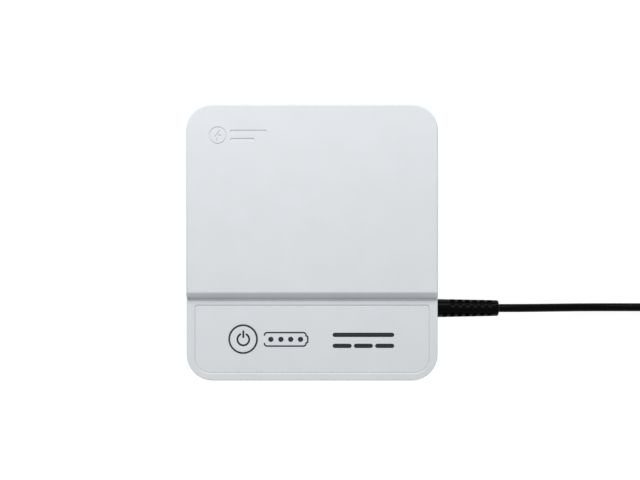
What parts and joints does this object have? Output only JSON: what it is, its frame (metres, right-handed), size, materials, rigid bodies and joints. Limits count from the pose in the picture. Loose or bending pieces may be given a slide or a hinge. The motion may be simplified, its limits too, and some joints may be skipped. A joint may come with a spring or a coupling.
{
  "type": "uninterruptible power supply",
  "caption": "Flat white direct-current backup supply with rounded corners, a stepped front with a push button and level lamps, and a fixed output cord.",
  "frame": {"origin": "centre of the case at the plane the rubber feet stand on", "axes": "+Z out of the front face, +Y from the control panel towards the upper deck, +X towards the output cord"},
  "size_m": [0.2522, 0.1154, 0.027],
  "materials": {
    "white_plastic": "satin",
    "panel_plastic": "satin",
    "smoked_plastic": "polished",
    "black_rubber": "satin",
    "cord_jacket": "gloss",
    "black_plastic": "satin",
    "tray_plastic": "matte",
    "connector_plastic": "satin",
    "cell_wrap": "satin",
    "capacitor_wrap": "gloss",
    "board_laminate": "satin",
    "chip_resin": "matte",
    "ferrite": "matte",
    "lamp_lens": "gloss",
    "fuse_glass": "polished",
    "heat_sink_metal": "satin",
    "nickel": "polished",
    "screw_steel": "satin",
    "label_film": "satin",
    "foam": "matte",
    "red_insulation": "gloss",
    "black_insulation": "gloss"
  },
  "bodies": {
    "case": {"battery_cell_1": "cell_wrap", "battery_cell_2": "cell_wrap", "battery_cell_3": "cell_wrap", "battery_header": "connector_plastic", "battery_lead_black": "black_insulation", "battery_lead_red": "red_insulation", "battery_plug": "connector_plastic", "battery_tray": "tray_plastic", "board_screw_1": "screw_steel", "board_screw_2": "screw_steel", "board_screw_3": "screw_steel", "buzzer": "black_plastic", "capacitor_1": "capacitor_wrap", "capacitor_2": "capacitor_wrap", "case_screw_1": "screw_steel", "case_screw_2": "screw_steel", "case_screw_3": "screw_steel", "case_screw_4": "screw_steel", "cell_strip_1": "nickel", "cell_strip_2": "nickel", "cell_strip_3": "nickel", "cell_strip_4": "nickel", "charger_chip": "chip_resin", "control_panel": "panel_plastic", "controller_chip": "chip_resin", "cord_coil": "cord_jacket", "cord_tail": "cord_jacket", "cord_tie": "foam", "dc_input_jack": "black_plastic", "dc_jack_pin": "nickel", "foam_pad": "foam", "front_cover": "white_plastic", "fuse": "fuse_glass", "heat_sink": "heat_sink_metal", "inductor_1": "ferrite", "inductor_2": "ferrite", "led_1": "lamp_lens", "led_2": "lamp_lens", "led_3": "lamp_lens", "led_4": "lamp_lens", "light_guide": "smoked_plastic", "main_board": "board_laminate", "output_cord": "cord_jacket", "output_header": "connector_plastic", "output_lead_black": "black_insulation", "output_lead_red": "red_insulation", "plug_barrel": "nickel", "plug_body": "black_plastic", "plug_insulator": "black_plastic", "protection_board": "board_laminate", "rating_label": "label_film", "rear_cover": "white_plastic", "rubber_foot_1": "black_rubber", "rubber_foot_2": "black_rubber", "rubber_foot_3": "black_rubber", "rubber_foot_4": "black_rubber", "strain_relief": "black_rubber", "tactile_switch": "black_plastic"},
    "button": {"power_button": "panel_plastic", "switch_plunger": "black_plastic"}
  },
  "joints": [
    {"name": "power_button_press", "type": "slide", "parent": "case", "child": "button", "axis": [0, 0, -1], "range_m": [0, 0.0005], "stiffness_N_per_m": 3000, "springref_m": -0.0002}
  ]
}
